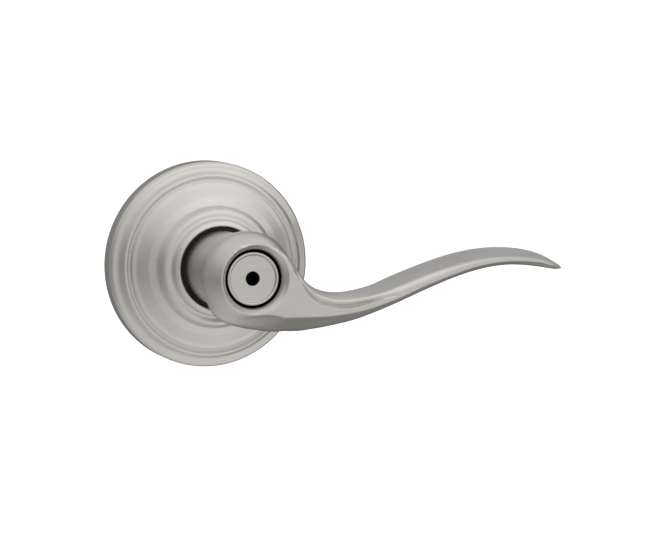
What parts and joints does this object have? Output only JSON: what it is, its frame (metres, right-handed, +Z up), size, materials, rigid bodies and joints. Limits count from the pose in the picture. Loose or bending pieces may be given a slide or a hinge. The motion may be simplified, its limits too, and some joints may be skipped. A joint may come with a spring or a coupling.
{
  "type": "door lever handle",
  "caption": "Outside half of a privacy door lever set: round stepped rosette, wave-shaped lever sprung to level, release hole, half-round spindle and threaded posts.",
  "frame": {"origin": "on the lever's turning axis, in the plane of the door's face", "axes": "+Y into the door along the turning axis, +X along the lever, +Z up"},
  "size_m": [0.1473, 0.113, 0.07],
  "materials": {
    "satin_nickel": "satin brushed nickel plating",
    "zinc_plated_steel": "bright zinc plating",
    "spring_steel": "oiled spring steel",
    "black_nylon": "moulded, matt",
    "pale_nylon": "moulded, matt",
    "cast_zinc": "as cast, dull"
  },
  "bodies": {
    "rose": {"rosette": "satin_nickel", "mounting_plate": "zinc_plated_steel", "mounting_posts": "zinc_plated_steel", "housing_rivets": "zinc_plated_steel", "stop_pins": "zinc_plated_steel", "spring_housing": "zinc_plated_steel", "sleeve_bearing": "pale_nylon", "thrust_washer": "pale_nylon", "neck_bushing": "black_nylon", "return_spring": "spring_steel"},
    "turning_lever": {"lever": "satin_nickel", "drive_sleeve": "zinc_plated_steel", "cam_plate": "zinc_plated_steel", "retaining_ring": "spring_steel", "privacy_plug": "satin_nickel", "plug_clip": "spring_steel", "spindle": "zinc_plated_steel", "spindle_carrier": "cast_zinc", "spindle_pin": "zinc_plated_steel", "catch_spring": "spring_steel", "release_spring": "spring_steel"},
    "pressed_catch": {"lever_catch": "zinc_plated_steel"},
    "pushed_rod": {"release_rod": "zinc_plated_steel"}
  },
  "joints": [
    {"name": "lever_turn", "type": "hinge", "parent": "rose", "child": "turning_lever", "pos_m": [0, 0, 0], "axis": [0, 1, 0], "range_deg": [-45, 45], "stiffness_Nm_per_rad": 1, "springref_deg": -1.67, "deforming": ["return_spring"]},
    {"name": "release_rod_push", "type": "slide", "parent": "turning_lever", "child": "pushed_rod", "axis": [0, 1, 0], "range_m": [0, 0.005], "stiffness_N_per_m": 200, "springref_m": -0.004, "deforming": ["release_spring"]},
    {"name": "lever_catch_press", "type": "slide", "parent": "turning_lever", "child": "pressed_catch", "axis": [0, 0, 1], "range_m": [0, 0.0026], "stiffness_N_per_m": 800, "springref_m": -0.0015, "deforming": ["catch_spring"]}
  ]
}
